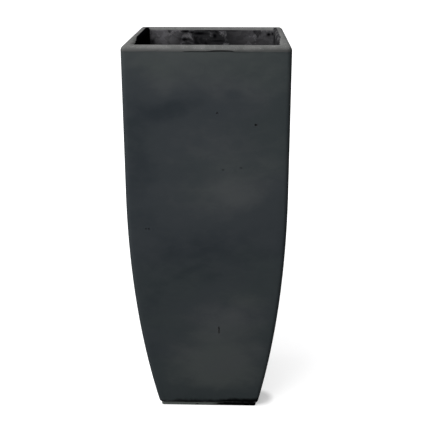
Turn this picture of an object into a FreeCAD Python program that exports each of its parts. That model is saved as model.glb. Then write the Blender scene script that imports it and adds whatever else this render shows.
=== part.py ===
"""Tall square fibreglass planter, 900 mm high, as the pieces it is laid up and bonded from.

The wall is one moulded skin: a square tube with rounded corners that stands nearly upright down to a
shoulder and then draws in along one large arc to a narrower heel. A rounded lip is bonded on its top edge,
over four timber battens. A stiffened floor with a plugged drain sits on the heel's flange, and a plinth
with rubber pads carries it all.

Millimetres. The origin is on the ground under the middle of the planter, +Z is up, and -Y is the front.
"""

import FreeCAD, Part  # noqa: E401  FreeCAD has to be imported before Part
import math
import os

V = FreeCAD.Vector
UP = V(0, 0, 1)

# ---- Overall form -------------------------------------------------------------------------------
overall_height = 900.0  # ground to the crest of the lip
rim_width = 350.0  # outside, at the lip
shoulder_width = 354.8  # outside, where the wall starts to draw in
shoulder_height = 588.0  # above the ground
heel_width = 247.0  # outside, at the bottom of the wall
corner_radius = 11.0  # outside corners of the square, all the way down
heel_radius = 8.0  # the wall's bottom edge

# ---- Wall ---------------------------------------------------------------------------------------
wall_thickness = 5.0
inner_corner_radius = 8.0  # the laminate is thicker in the corners
heel_flange_width = 26.0  # the wall's inward turn that carries the floor
heel_flange_thickness = 6.0

# ---- Lip ----------------------------------------------------------------------------------------
lip_width = 24.0  # outside face to opening
lip_face_height = 12.0  # outer band above the joint with the wall
lip_outer_radius = 10.5
lip_inner_radius = 10.0
lip_top_thickness = 6.0
lip_corner_radius = 9.0  # corners of the opening
skirt_thickness = 4.0  # the lip's inner leg
skirt_depth = 45.0  # crest to the bottom of the inner leg
capping_thickness = 3.0  # laminate that seals the battens from below

# ---- Floor --------------------------------------------------------------------------------------
floor_core_thickness = 9.0  # plywood
floor_core_clearance = 1.0  # round the plywood
pan_thickness = 4.0  # laminate over the plywood
pan_upstand = 30.0  # laminate turned up the wall
pan_corner_radius = 14.0  # inside corners of the upstand
pan_cove = 8.0  # slope of filled resin between the floor and its upstand
bush_seat_depth = 2.0  # sunk in the pan for the drain's flange
bush_seat_clearance = 0.5  # round the flange

# ---- Plinth and pads ----------------------------------------------------------------------------
plinth_height = 9.0
plinth_setback = 5.0  # behind the wall's face
plinth_edge = 1.5  # chamfer round the foot of the plinth
spigot_thickness = 8.0  # upstand that finds the hole in the heel flange
spigot_height = 4.0
spigot_clearance = 0.5  # round the spigot
pad_width = 20.0
pad_thickness = 4.0
pad_seat_depth = 2.5  # sunk in the plinth

# ---- Drain --------------------------------------------------------------------------------------
drain_radius = 13.0  # clear bore through the floor
bush_thickness = 3.0
bush_flange_radius = 24.0
bush_flange_thickness = 2.0
bush_drip = 4.0  # below the plywood
plug_clearance = 0.2  # round the stopper
plug_head_radius = 18.0
plug_head_thickness = 4.0
grip_length = 26.0
grip_thickness = 5.0
grip_height = 11.0  # above the head
grip_round = 2.0  # upper edges of the grip

# ---- Levels, from the ground up -----------------------------------------------------------------
plinth_bottom = pad_thickness - pad_seat_depth
heel_level = plinth_bottom + plinth_height
flange_top = heel_level + heel_flange_thickness
core_top = flange_top + floor_core_thickness
pan_top = core_top + pan_thickness
upstand_top = pan_top + pan_upstand
bush_seat = pan_top - bush_seat_depth
plug_seat = bush_seat + bush_flange_thickness
drain_foot = flange_top - bush_drip
joint_level = overall_height - lip_face_height
batten_top = overall_height - lip_top_thickness
skirt_bottom = overall_height - skirt_depth
capping_top = skirt_bottom + capping_thickness

# ---- Half widths --------------------------------------------------------------------------------
rim_half = rim_width / 2
shoulder_half = shoulder_width / 2
heel_half = heel_width / 2
opening_half = rim_half - lip_width
skirt_half = opening_half + skirt_thickness
skirt_corner_radius = lip_corner_radius + skirt_thickness
flange_hole_half = heel_half - heel_flange_width
spigot_half = flange_hole_half - spigot_clearance
plinth_half = heel_half - plinth_setback
plinth_hole_half = spigot_half - spigot_thickness
pad_offset = (plinth_half + plinth_hole_half) / 2

corner_strips = 6  # surfaces round each corner of the curved wall


# ---- Forms --------------------------------------------------------------------------------------
def arc_poles(centre, radius, start, end):
    """The three weighted poles of a circular arc in a plane, between two angles in radians."""
    weight = math.cos((end - start) / 2)
    rays = ((start, radius, 1.0), ((start + end) / 2, radius / weight, weight), (end, radius, 1.0))
    return [(centre[0] + r * math.cos(a), centre[1] + r * math.sin(a), w) for a, r, w in rays]


def wall_arc():
    """The wall's drawn-in stretch: an arc tangent to the straight run at the shoulder, ending at the heel.

    Gives its centre as (half width, level), its radius, and its angles at the shoulder and the heel. Where the
    wall is hollow rather than full, the radius is negative.
    """
    lean = math.atan2(shoulder_half - rim_half, joint_level - shoulder_height)
    drop = shoulder_height - heel_level
    draw = shoulder_half - heel_half
    inward = draw * math.cos(lean) + drop * math.sin(lean)
    radius = (draw**2 + drop**2) / (2 * inward)
    centre = (shoulder_half - radius * math.cos(lean), shoulder_height - radius * math.sin(lean))
    return centre, radius, lean, math.asin((heel_level - centre[1]) / radius)


def wall_half(level):
    """Half the wall's outside width at a level."""
    if level > shoulder_height:
        climb = (level - shoulder_height) / (joint_level - shoulder_height)
        return shoulder_half + (rim_half - shoulder_half) * climb
    centre, radius, _, _ = wall_arc()
    return centre[0] + math.copysign(math.sqrt(radius**2 - (level - centre[1]) ** 2), radius)


def corner_poles(half, radius):
    """The +X +Y corner of a rounded square, one arc for each strip."""
    step = math.pi / 2 / corner_strips
    centre = (half - radius, half - radius)
    return [arc_poles(centre, radius, k * step, (k + 1) * step) for k in range(corner_strips)]


def patch(rows):
    """A Bezier surface from rows of (x, y, z, weight)."""
    surface = Part.BezierSurface()
    surface.increase(len(rows) - 1, len(rows[0]) - 1)
    for u, row in enumerate(rows, 1):
        for v, (x, y, z, weight) in enumerate(row, 1):
            surface.setPole(u, v, V(x, y, z), weight)
    return surface.toShape()


def skin(stretch, inset, radius):
    """Four sides and four rounded corners along one stretch of the wall, with one corner radius at every level."""
    side = []
    strips = [[] for _ in range(corner_strips)]
    for outer_half, level, weight in stretch:
        half = outer_half - inset
        straight = half - radius
        side.append([(half, y, level, weight) for y in (-straight, straight)])
        for strip, arc in zip(strips, corner_poles(half, radius)):
            strip.append([(x, y, level, weight * w) for x, y, w in arc])
    faces = []
    for quarter in range(4):
        for rows in (side, *strips):
            face = patch(rows)
            face.rotate(V(0, 0, 0), UP, 90 * quarter)
            faces.append(face)
    return faces


def curved_square(inset, radius):
    """The wall's form from heel to joint, set in from its outer face."""
    curve = arc_poles(*wall_arc())
    run = [(shoulder_half, shoulder_height, 1.0), (rim_half, joint_level, 1.0)]
    ends = [
        Part.Face(square_wire(rim_half - inset, radius, joint_level, corner_strips)),
        Part.Face(square_wire(heel_half - inset, radius, heel_level, corner_strips)),
    ]
    shell = Part.makeShell([*skin(curve, inset, radius), *skin(run, inset, radius), *ends])
    shell.sewShape()
    return Part.makeSolid(shell)


def square_wire(half, radius, level, arcs_per_corner=1):
    """A square with rounded corners, lying flat at a level."""
    straight = half - radius
    edges = []
    for quarter in range(4):
        edge = Part.makeLine(V(half, -straight, level), V(half, straight, level))
        edge.rotate(V(0, 0, 0), UP, 90 * quarter)
        edges.append(edge)
        for k in range(arcs_per_corner):
            step = 90 / arcs_per_corner
            edge = Part.makeCircle(radius, V(straight, straight, level), UP, k * step, (k + 1) * step)
            edge.rotate(V(0, 0, 0), UP, 90 * quarter)
            edges.append(edge)
    return Part.Wire(edges)


def square_prism(half, radius, bottom, top):
    """An upright square bar with rounded corners."""
    return Part.Face(square_wire(half, radius, bottom)).extrude(V(0, 0, top - bottom))


def square_taper(bottom, top, inset, radius):
    """A rounded square bar whose sides run straight between two levels of the wall."""
    wires = [square_wire(wall_half(level) - inset, radius, level) for level in (bottom, top)]
    return Part.makeLoft(wires, True, True)


def between(shape, bottom, top):
    """The part of a shape between two levels."""
    reach = max(shoulder_width, rim_width, heel_width)
    return shape.common(Part.makeBox(2 * reach, 2 * reach, top - bottom, V(-reach, -reach, bottom)))


def edges_at(shape, level, largest_half):
    """The edges that lie flat at a level, no further out than a half width."""
    found = []
    for edge in shape.Edges:
        box = edge.BoundBox
        reach = max(abs(box.XMin), abs(box.XMax), abs(box.YMin), abs(box.YMax))
        if max(abs(box.ZMin - level), abs(box.ZMax - level)) < 0.01 and reach < largest_half + 0.1:
            found.append(edge)
    return found


def turned(points):
    """A solid of revolution about the drain's axis, from (radius, level) corners."""
    corners = [V(r, 0, z) for r, z in points]
    return Part.Face(Part.makePolygon([*corners, corners[0]])).revolve(V(0, 0, 0), UP, 360)


# ---- Wall and lip -------------------------------------------------------------------------------
def make_wall_shell():
    """The moulded skin: four walls with a rounded heel, and the flange turned in under the floor."""
    form = curved_square(0.0, corner_radius)
    form = form.makeFillet(heel_radius, edges_at(form, heel_level, heel_half))
    cavity = curved_square(wall_thickness, inner_corner_radius)
    hole = square_prism(flange_hole_half, inner_corner_radius, heel_level, flange_top)
    return form.cut(between(cavity, flange_top, joint_level)).cut(hole)


def batten_ring(bottom, top):
    """The space for the battens between two levels, under the lip and behind its skirt."""
    outside = min(wall_half(capping_top), wall_half(joint_level)) - wall_thickness
    space = square_prism(outside, inner_corner_radius, bottom, top)
    return space.cut(square_prism(skirt_half, skirt_corner_radius, bottom, top))


def make_rim_lip():
    """The bonded lip: a rounded crown with an inner skirt, hollow over the battens."""
    crown = square_prism(rim_half, corner_radius, joint_level, overall_height)
    crown = crown.makeFillet(lip_outer_radius, edges_at(crown, overall_height, rim_half))
    skirt = square_prism(skirt_half, skirt_corner_radius, skirt_bottom, joint_level)
    opening = square_prism(opening_half, lip_corner_radius, skirt_bottom, overall_height)
    lip = crown.cut(batten_ring(joint_level, batten_top)).fuse(skirt).cut(opening).removeSplitter()
    return lip.makeFillet(lip_inner_radius, edges_at(lip, overall_height, opening_half))


def make_rim_core(turn):
    """One timber batten with mitred ends, for the side at this turn from the front."""
    reach = rim_width
    triangle = Part.makePolygon([V(0, 0, 0), V(reach, -reach, 0), V(-reach, -reach, 0), V(0, 0, 0)])
    wedge = Part.Face(triangle).extrude(V(0, 0, overall_height))
    wedge.rotate(V(0, 0, 0), UP, turn)
    return batten_ring(capping_top, batten_top).common(wedge)


def make_rim_capping():
    """The laminate that closes the space under the battens, from the wall to the skirt."""
    slab = between(curved_square(wall_thickness, inner_corner_radius), skirt_bottom, capping_top)
    return slab.cut(square_prism(skirt_half, skirt_corner_radius, skirt_bottom, capping_top))


# ---- Floor and drain ----------------------------------------------------------------------------
def bush_hole(bottom, top):
    """The hole through a floor layer for the drain bush."""
    return Part.makeCylinder(drain_radius + bush_thickness, top - bottom, V(0, 0, bottom))


def make_floor_core():
    """The plywood panel on the heel flange."""
    half = wall_half(flange_top) - wall_thickness - floor_core_clearance
    return square_prism(half, inner_corner_radius, flange_top, core_top).cut(bush_hole(flange_top, core_top))


def make_floor_pan():
    """The laminate over the plywood, turned up the wall all round."""
    tray = square_taper(core_top, upstand_top, wall_thickness, inner_corner_radius)
    inside = square_taper(pan_top, upstand_top, wall_thickness + pan_thickness, pan_corner_radius)
    inside = inside.makeChamfer(pan_cove, edges_at(inside, pan_top, heel_half))
    seat_radius = bush_flange_radius + bush_seat_clearance
    seat = Part.makeCylinder(seat_radius, bush_seat_depth, V(0, 0, bush_seat))
    return tray.cut(inside).cut(seat).cut(bush_hole(core_top, pan_top))


def make_drain_bush():
    """The flanged sleeve that lines the drain through the floor."""
    outside = drain_radius + bush_thickness
    return turned(
        [
            (drain_radius, drain_foot),
            (outside, drain_foot),
            (outside, bush_seat),
            (bush_flange_radius, bush_seat),
            (bush_flange_radius, plug_seat),
            (drain_radius, plug_seat),
        ]
    )


def make_drain_plug():
    """The rubber stopper: a body in the bush, a head on its flange and a grip to pull."""
    shoulder = drain_radius - plug_clearance
    head_top = plug_seat + plug_head_thickness
    stopper = turned(
        [
            (0, drain_foot),
            (shoulder, drain_foot),
            (shoulder, plug_seat),
            (plug_head_radius, plug_seat),
            (plug_head_radius, head_top),
            (0, head_top),
        ]
    )
    grip = Part.makeBox(grip_length, grip_thickness, grip_height, V(-grip_length / 2, -grip_thickness / 2, head_top))
    grip = grip.makeFillet(grip_round, edges_at(grip, head_top + grip_height, grip_length))
    return stopper.fuse(grip)


# ---- Plinth and pads ----------------------------------------------------------------------------
def pad_places():
    """The middle of each pad, in the corners of the plinth: front left, front right, back left, back right."""
    return [(x * pad_offset, y * pad_offset) for y in (-1, 1) for x in (-1, 1)]


def pad_block(x, y, bottom, height):
    """A square block in a pad's place."""
    return Part.makeBox(pad_width, pad_width, height, V(x - pad_width / 2, y - pad_width / 2, bottom))


def make_base_plinth():
    """The square frame under the heel, with a spigot in the flange's hole and seats for the pads."""
    spigot_top = heel_level + spigot_height
    frame = square_prism(plinth_half, corner_radius - plinth_setback, plinth_bottom, heel_level)
    frame = frame.makeChamfer(plinth_edge, edges_at(frame, plinth_bottom, plinth_half))
    frame = frame.fuse(square_prism(spigot_half, inner_corner_radius, heel_level, spigot_top))
    frame = frame.cut(square_prism(plinth_hole_half, inner_corner_radius, plinth_bottom, spigot_top))
    for x, y in pad_places():
        frame = frame.cut(pad_block(x, y, plinth_bottom, pad_seat_depth))
    return frame.removeSplitter()


def build():
    """Every piece of the planter, by name."""
    pieces = {
        "wall_shell": make_wall_shell(),
        "rim_lip": make_rim_lip(),
        "rim_capping": make_rim_capping(),
        "floor_core": make_floor_core(),
        "floor_pan": make_floor_pan(),
        "drain_bush": make_drain_bush(),
        "drain_plug": make_drain_plug(),
        "base_plinth": make_base_plinth(),
    }
    for side, turn in (("front", 0), ("right", 90), ("back", 180), ("left", 270)):
        pieces[f"rim_core_{side}"] = make_rim_core(turn)
    for name, (x, y) in zip(("front_left", "front_right", "back_left", "back_right"), pad_places()):
        pieces[f"foot_pad_{name}"] = pad_block(x, y, 0.0, pad_thickness)
    return pieces


def main():
    os.makedirs("parts", exist_ok=True)
    for name, shape in build().items():
        if len(shape.Solids) != 1 or not shape.isValid():
            raise ValueError(f"{name} has to be one valid solid")
        shape.Solids[0].exportStep(os.path.join("parts", f"{name}.step"))
        print(f"{name}: {shape.Volume / 1000:.1f} cm3")


main()
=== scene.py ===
"""Tall square fibreglass planter: the looks around its fixed frame, laid out as an add-on.

The frame's solids stand in metres with the front at -Y. The pieces that show are modelled again at the same
size, with the small unevenness of hand-laid laminate. The hidden ones keep their solids and get a material.
"""

import math

import bmesh
import bpy
from bpy.props import FloatProperty, FloatVectorProperty, PointerProperty
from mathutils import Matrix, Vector


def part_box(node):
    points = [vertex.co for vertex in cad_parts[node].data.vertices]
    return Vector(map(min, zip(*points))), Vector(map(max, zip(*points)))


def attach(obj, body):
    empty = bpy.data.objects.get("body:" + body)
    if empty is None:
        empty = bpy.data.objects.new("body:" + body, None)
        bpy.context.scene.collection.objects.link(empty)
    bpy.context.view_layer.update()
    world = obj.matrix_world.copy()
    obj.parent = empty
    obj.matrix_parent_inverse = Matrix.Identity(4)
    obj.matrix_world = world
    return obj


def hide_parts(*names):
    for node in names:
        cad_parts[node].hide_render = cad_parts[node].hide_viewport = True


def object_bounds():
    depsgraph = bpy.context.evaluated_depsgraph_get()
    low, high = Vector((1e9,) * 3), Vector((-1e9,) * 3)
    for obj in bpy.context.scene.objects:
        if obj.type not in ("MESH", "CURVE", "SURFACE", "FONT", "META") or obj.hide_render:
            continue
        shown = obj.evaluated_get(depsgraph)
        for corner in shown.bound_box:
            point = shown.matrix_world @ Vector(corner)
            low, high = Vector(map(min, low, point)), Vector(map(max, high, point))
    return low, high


bl_info = {
    "name": "Tall Square Planter",
    "version": (1, 0, 0),
    "blender": (4, 5, 0),
    "location": "3D View > Sidebar > Planter",
    "description": "Models and finishes a tall square fibreglass planter and its studio",
    "category": "Object",
}

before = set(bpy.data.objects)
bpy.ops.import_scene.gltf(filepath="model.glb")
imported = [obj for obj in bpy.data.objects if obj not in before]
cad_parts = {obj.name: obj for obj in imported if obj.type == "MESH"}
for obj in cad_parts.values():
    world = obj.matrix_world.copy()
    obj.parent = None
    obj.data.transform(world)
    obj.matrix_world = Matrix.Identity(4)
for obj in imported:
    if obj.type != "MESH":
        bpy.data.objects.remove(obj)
CAD_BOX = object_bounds()
WALL_LOW, WALL_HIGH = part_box("wall_shell")
LIP_LOW, LIP_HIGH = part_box("rim_lip")
PAN_LOW, PAN_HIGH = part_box("floor_pan")
BUSH_LOW, BUSH_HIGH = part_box("drain_bush")
PLUG_LOW, PLUG_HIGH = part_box("drain_plug")
PLINTH_LOW, PLINTH_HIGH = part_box("base_plinth")
FLANGE_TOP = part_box("floor_core")[0].z
BATTEN_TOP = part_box("rim_core_front")[1].z

CORNER_STEPS = 8
RING_POINTS = 4 * (CORNER_STEPS + 1)
# A corner radius that is larger than any half width, which makes a ring a circle.
ROUND = 1.0
# From the heel's outside to the edge of the hole in the flange under the floor.
FLANGE_REACH = 0.026
# The inside runs straight down from this far above the flange.
INSIDE_HEEL = 0.01
# Sides longer than this are flat and get cross cuts. The corners' short edges don't.
FLAT_SIDE = 0.12
# Height of the front band, from the joint up, that the lip's swell fades out in.
BAND_FADE = (0.0016, 0.0105)
# How deep the open bond line is cut.
BOND_DEPTH = 0.0046
# How far noise leads the edges of the front's clouds astray, and how deep a cloud reaches.
CLOUD_STRAY = 0.06
CLOUD_DEPTH = 0.22
# Face of the lip's skirt at the back, seen over the front rim.
SKIRT_FACE = 0.151
# Thickness of two veneers of the floor's plywood.
VENEER_PAIR = 0.003
# Thickness of the flange of the drain's sleeve.
BUSH_FLANGE = 0.002
# Power that fills the floor's cove out, from 1 for an arc.
COVE_FILL = 1.25


# ---- Sizes and colours ----------------------------------------------------------------------------
def length(name, description, default):
    return FloatProperty(
        name=name, description=description, default=default, min=0.0, unit="LENGTH", subtype="DISTANCE"
    )


def angle(name, description, default):
    return FloatProperty(
        name=name, description=description, default=default, unit="ROTATION", subtype="ANGLE"
    )


def power(name, description, default):
    return FloatProperty(name=name, description=description, default=default, min=0.0, unit="POWER")


def colour(name, description, default):
    return FloatVectorProperty(
        name=name, description=description, default=default, size=3, min=0.0, max=1.0, subtype="COLOR"
    )


class PlanterWallSettings(bpy.types.PropertyGroup):
    shoulder_level: length("Shoulder level", "Height where the wall starts to draw in", 0.588)
    shoulder_half: length("Shoulder half width", "Half the outside width at the shoulder", 0.1774)
    heel_half: length("Heel half width", "Half the outside width at the wall's bottom", PLINTH_HIGH.x + 0.005)
    corner_radius: length("Corner radius", "Outside corners of the square", 0.011)
    inner_radius: length("Inner corner radius", "Inside corners of the square", 0.008)
    heel_radius: length("Heel radius", "Rounding of the wall's bottom edge", 0.008)
    thickness: length("Wall thickness", "Laminate thickness", 0.005)
    wave_depth: length("Wave depth", "How far the moulded faces dip in between their high spots", 0.0009)
    wave_size: length("Wave size", "Distance between the high spots", 0.15)
    lay_depth: length("Lay depth", "Unevenness of the hand-laid inner face", 0.0012)


class PlanterLipSettings(bpy.types.PropertyGroup):
    width: length("Lip width", "Outside face to opening", 0.024)
    outer_radius: length("Outer radius", "Rounding of the outer edge", 0.0105)
    inner_radius: length("Inner radius", "Rounding of the inner edge", 0.010)
    opening_radius: length("Opening corner radius", "Corners of the opening", 0.009)
    skirt: length("Skirt thickness", "Thickness of the lip's inner leg", 0.004)
    swell: length("Swell", "How far the foot of the front band stands out in the middle", 0.0012)
    gap: length("Bond gap", "Height of the open bond line in the middle of the front", 0.0050)


class PlanterFloorSettings(bpy.types.PropertyGroup):
    upstand: length("Upstand thickness", "Laminate turned up the wall", 0.004)
    corner_radius: length("Inside corner radius", "Corners of the upstand", 0.014)
    cove: length("Cove", "Filled slope between the floor and its upstand", 0.008)
    ragged: length("Ragged edge", "Unevenness of the upstand's top edge", 0.0035)
    seat_radius: length("Drain seat radius", "Sunk seat for the drain's flange", 0.0245)


class PlanterDrainSettings(bpy.types.PropertyGroup):
    bore_radius: length("Bore radius", "Clear bore through the floor", 0.013)
    sleeve_radius: length("Sleeve radius", "Outside of the sleeve", 0.016)
    grip_width: length("Grip width", "Length of the stopper's grip", 0.026)
    grip_thickness: length("Grip thickness", "Thickness of the stopper's grip", 0.005)
    grip_height: length("Grip height", "Height of the grip over the head", 0.011)


class PlanterFinishSettings(bpy.types.PropertyGroup):
    gelcoat: colour("Gelcoat", "Charcoal of the moulded faces", (0.0320, 0.0375, 0.0405))
    gelcoat_dark: colour("Gelcoat, dark", "Darker clouds in the charcoal", (0.0205, 0.0255, 0.0290))
    gelcoat_pale: colour("Gelcoat, pale", "Chalky bloom on the charcoal", (0.0500, 0.0550, 0.0560))
    lip: colour("Lip gelcoat", "The lip's worn gelcoat", (0.066, 0.067, 0.067))
    # Paler than the wall's gelcoat: painted light standing in for the light that the floor throws on the
    # plinth.
    plinth: colour("Plinth gelcoat", "The plinth's scuffed gelcoat", (0.105, 0.115, 0.110))
    # Painted shade: the near-black that darkens the gelcoat near the ground and the right half of the
    # plinth's front.
    damp: colour("Damp", "Dark stains of damp near the ground", (0.0012, 0.0015, 0.0015))
    laminate: colour("Raw laminate", "Hand-laid laminate inside", (0.026, 0.026, 0.028))
    # Also the colour of the painted light in the skirt's left back corner.
    laminate_pale: colour("Raw laminate, pale", "Dry glass showing in the laminate", (0.125, 0.122, 0.130))
    # Also the near-black of painted shade: on the left inner faces, in the bond line's cut and in the
    # pinholes.
    resin: colour("Pooled resin", "Runs and pools of dark resin inside", (0.0012, 0.0012, 0.0018))
    timber: colour("Batten timber", "Softwood of the battens", (0.48, 0.31, 0.16))
    veneer: colour("Plywood veneer", "Face veneer of the floor panel", (0.50, 0.34, 0.19))
    rubber: colour("Rubber", "Rubber of the stopper and pads", (0.018, 0.018, 0.019))
    plastic: colour("Drain plastic", "Plastic of the drain's sleeve", (0.022, 0.022, 0.024))
    dust: colour("Dust", "Settled dust", (0.19, 0.19, 0.185))


class PlanterStudioSettings(bpy.types.PropertyGroup):
    backdrop: colour("Backdrop", "Colour of the floor and the surroundings", (1.0, 1.0, 1.0))
    surround: FloatProperty(
        name="Surround light", description="Light of the surroundings", default=0.30, min=0.0
    )
    top_light: power("Top light", "Power of the soft box overhead", 120.0)
    side_light: power("Side light", "Power of the soft box at the front left", 45.0)
    camera_place: FloatVectorProperty(
        name="Camera place", description="Where the camera stands", default=(0.060, -1.682, 1.102), size=3,
        unit="LENGTH", subtype="TRANSLATION",
    )
    camera_tilt: angle("Camera tilt", "Down from level", math.radians(20.94))
    camera_turn: angle("Camera turn", "To the left of straight ahead", math.radians(1.43))
    focal_length: FloatProperty(
        name="Focal length", description="Lens for a frame 36 mm wide", default=60.19, unit="CAMERA"
    )


GROUPS = {
    "planter_wall": PlanterWallSettings,
    "planter_lip": PlanterLipSettings,
    "planter_floor": PlanterFloorSettings,
    "planter_drain": PlanterDrainSettings,
    "planter_finish": PlanterFinishSettings,
    "planter_studio": PlanterStudioSettings,
}


# ---- Working in edit mode -------------------------------------------------------------------------
def start(name):
    """Deselects everything, starts an empty mesh object at the origin and goes into edit mode."""
    bpy.ops.object.select_all(action="DESELECT")
    bpy.ops.mesh.primitive_plane_add(size=1.0, location=(0, 0, 0))
    piece = bpy.context.object
    piece.name = name
    piece.data.name = name
    bpy.ops.object.mode_set(mode="EDIT")
    bpy.ops.mesh.select_all(action="SELECT")
    bpy.ops.mesh.delete(type="VERT")
    return piece


def pick(piece, kind, test):
    """Selects the verts, edges or faces that pass the test. Returns how many."""
    bpy.ops.mesh.select_mode(type={"verts": "VERT", "edges": "EDGE", "faces": "FACE"}[kind])
    bpy.ops.mesh.select_all(action="DESELECT")
    mesh = bmesh.from_edit_mesh(piece.data)
    found = [item for item in getattr(mesh, kind) if test(item)]
    for item in found:
        item.select_set(True)
    mesh.select_flush_mode()
    bmesh.update_edit_mesh(piece.data)
    return len(found)


def add_square(half, radius, level):
    """Adds a rounded square of edges. A radius as large as the half width gives a circle."""
    if radius >= half:
        bpy.ops.mesh.primitive_circle_add(
            vertices=RING_POINTS, radius=half, location=(0, 0, level), rotation=(0, 0, math.radians(45))
        )
        return
    bpy.ops.mesh.primitive_plane_add(size=2 * half, location=(0, 0, level))
    bpy.ops.mesh.select_mode(type="VERT")
    bpy.ops.mesh.bevel(
        offset=radius, offset_type="OFFSET", segments=CORNER_STEPS, profile=0.5, affect="VERTICES",
        clamp_overlap=False,
    )
    bpy.ops.mesh.delete(type="ONLY_FACE")


def stack(name, rings, closed=True):
    """A piece whose skin runs through rings of (half width, corner radius, level), and back to the first.

    The rings are joined while they stand a metre apart, because two in one plane would be joined across.
    """
    piece = start(name)
    for k, (half, radius, _) in enumerate(rings):
        add_square(half, radius, float(k))
    pairs = [(k, k + 1) for k in range(len(rings) - 1)]
    if closed:
        pairs.append((len(rings) - 1, 0))
    for pair in pairs:
        pick(piece, "verts", lambda v: round(v.co.z) in pair)
        bpy.ops.mesh.bridge_edge_loops()
    mesh = bmesh.from_edit_mesh(piece.data)
    for v in mesh.verts:
        v.co.z = rings[round(v.co.z)][2]
    bmesh.update_edit_mesh(piece.data)
    bpy.ops.mesh.select_all(action="SELECT")
    bpy.ops.mesh.normals_make_consistent(inside=False)
    return piece


def cross_cuts(piece, number, shortest=FLAT_SIDE):
    """Divides the long flat sides across, so that they can bend, and leaves edit mode."""
    pick(piece, "edges", lambda e: e.calc_length() > shortest)
    bpy.ops.mesh.subdivide(number_cuts=number)
    bpy.ops.object.mode_set(mode="OBJECT")


def spread(low, high, steps, first=0):
    """Even steps from low to high, both ends included, or from the first step on."""
    return [low + (high - low) * k / steps for k in range(first, steps + 1)]


def weigh(piece, name, rule):
    """Gives each vertex a weight from 0 to 1 by its place."""
    group = piece.vertex_groups.new(name=name)
    for v in piece.data.vertices:
        group.add([v.index], max(0.0, min(1.0, rule(v.co))), "REPLACE")


def apply_modifier(piece, kind, name, **values):
    bpy.context.view_layer.objects.active = piece
    modifier = piece.modifiers.new(name, kind)
    for key, value in values.items():
        setattr(modifier, key, value)
    bpy.ops.object.modifier_apply(modifier=modifier.name)


def subtract(piece, cutter, name):
    """Takes the cutter out of the piece and deletes it."""
    bpy.ops.object.mode_set(mode="OBJECT")
    bpy.ops.object.select_all(action="DESELECT")
    apply_modifier(piece, "BOOLEAN", name, operation="DIFFERENCE", solver="EXACT", object=cutter)
    bpy.data.objects.remove(cutter)


def roughen(piece, group, texture_name, size, strength, mid_level, depth=2, direction="NORMAL"):
    """Moves the vertices of a group by cloudy noise of a size."""
    texture = bpy.data.textures.new(texture_name, "CLOUDS")
    texture.noise_scale = size
    texture.noise_depth = depth
    apply_modifier(
        piece, "DISPLACE", texture_name, texture=texture, texture_coords="LOCAL",
        direction=direction, vertex_group=group, strength=strength, mid_level=mid_level,
    )


def smooth(value, low, high):
    """0 below low, 1 above high, and a soft step between."""
    t = max(0.0, min(1.0, (value - low) / (high - low)))
    return t * t * (3 - 2 * t)


def sides(piece, *materials):
    """Adds materials for some of a piece's faces, after its first."""
    for name in materials:
        piece.data.materials.append(bpy.data.materials[name])


def finish(piece, body, material, slot, *nodes, angle=35.0):
    """Shades a piece, gives it its material and puts it in place of its solids."""
    if bpy.context.object and bpy.context.object.mode != "OBJECT":
        bpy.ops.object.mode_set(mode="OBJECT")
    bpy.ops.object.select_all(action="DESELECT")
    piece.select_set(True)
    bpy.context.view_layer.objects.active = piece
    bpy.ops.object.transform_apply(location=True, rotation=True, scale=True)
    bpy.ops.object.shade_smooth_by_angle(angle=math.radians(angle))
    piece.data.materials.clear()
    sides(piece, material)
    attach(piece, body)
    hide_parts(*nodes)


# Clouds of the front face, partly real mottling and partly painted light and shade, such as the pale patches
# low on the face that stand in for light from the floor: across, level, half width, half height, and how much
# paler or darker.
FRONT_CLOUDS_AND_SHADING = (
    (-0.040, 0.889, 0.150, 0.026, 0.40),
    (0.000, 0.850, 0.220, 0.060, 0.36),
    (0.115, 0.795, 0.058, 0.045, 0.25),
    (-0.060, 0.772, 0.075, 0.028, -0.32),
    (0.000, 0.780, 0.110, 0.026, -0.12),
    (0.064, 0.795, 0.026, 0.014, -0.16),
    (-0.145, 0.670, 0.050, 0.160, -0.30),
    (-0.098, 0.627, 0.040, 0.024, -0.12),
    (0.050, 0.660, 0.130, 0.130, 0.30),
    (0.015, 0.585, 0.125, 0.036, 0.25),
    (-0.026, 0.541, 0.068, 0.024, 0.15),
    (-0.020, 0.420, 0.210, 0.100, -0.24),
    (0.041, 0.182, 0.098, 0.150, 0.45),
    (0.050, 0.310, 0.120, 0.070, 0.22),
    (0.030, 0.120, 0.130, 0.090, 0.34),
    (-0.135, 0.266, 0.045, 0.110, -0.12),
    (-0.060, 0.130, 0.060, 0.090, 0.22),
    (0.000, 0.045, 0.200, 0.046, -0.15),
)
# Painted shade on the foot of the lip's front band, strongest at the right, in the same measures.
LIP_BAND_SHADE = ((0.115, 0.888, 0.075, 0.0085, -0.60), (0.0, 0.888, 0.30, 0.0030, -0.20))
# Pale patches on the lip's skirt at the back, dry laminate, except the second, which is painted light lifting
# the shade in the left back corner: across, level, half width, half height, and how dry.
DRY_AND_LIT_PATCHES = (
    (-0.120, 0.884, 0.042, 0.040, 0.85),
    # Painted light: lifts the shade in the left back corner.
    (-0.146, 0.872, 0.014, 0.040, 1.00),
    (0.118, 0.884, 0.075, 0.030, 0.42),
)
# Pools of resin on the lip's skirt at the back: across, level, half width, half height.
SKIRT_POOLS = (
    (-0.062, 0.891, 0.011, 0.0035),
    (-0.047, 0.889, 0.009, 0.0045),
    (-0.064, 0.872, 0.014, 0.0050),
    (-0.028, 0.886, 0.024, 0.0050),
    (0.009, 0.880, 0.005, 0.0060),
    (0.016, 0.868, 0.018, 0.0018),
    (0.140, 0.884, 0.006, 0.0050),
    (0.149, 0.886, 0.0035, 0.0050),
    (0.010, 0.8925, 0.090, 0.0016),
)
# Middle of the painted shadow on the floor, where the floor's glow is lowered so that the planter's shadow
# shows.
PAINTED_SHADOW_PLACE = (0.128, -0.082, 0.0)
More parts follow.
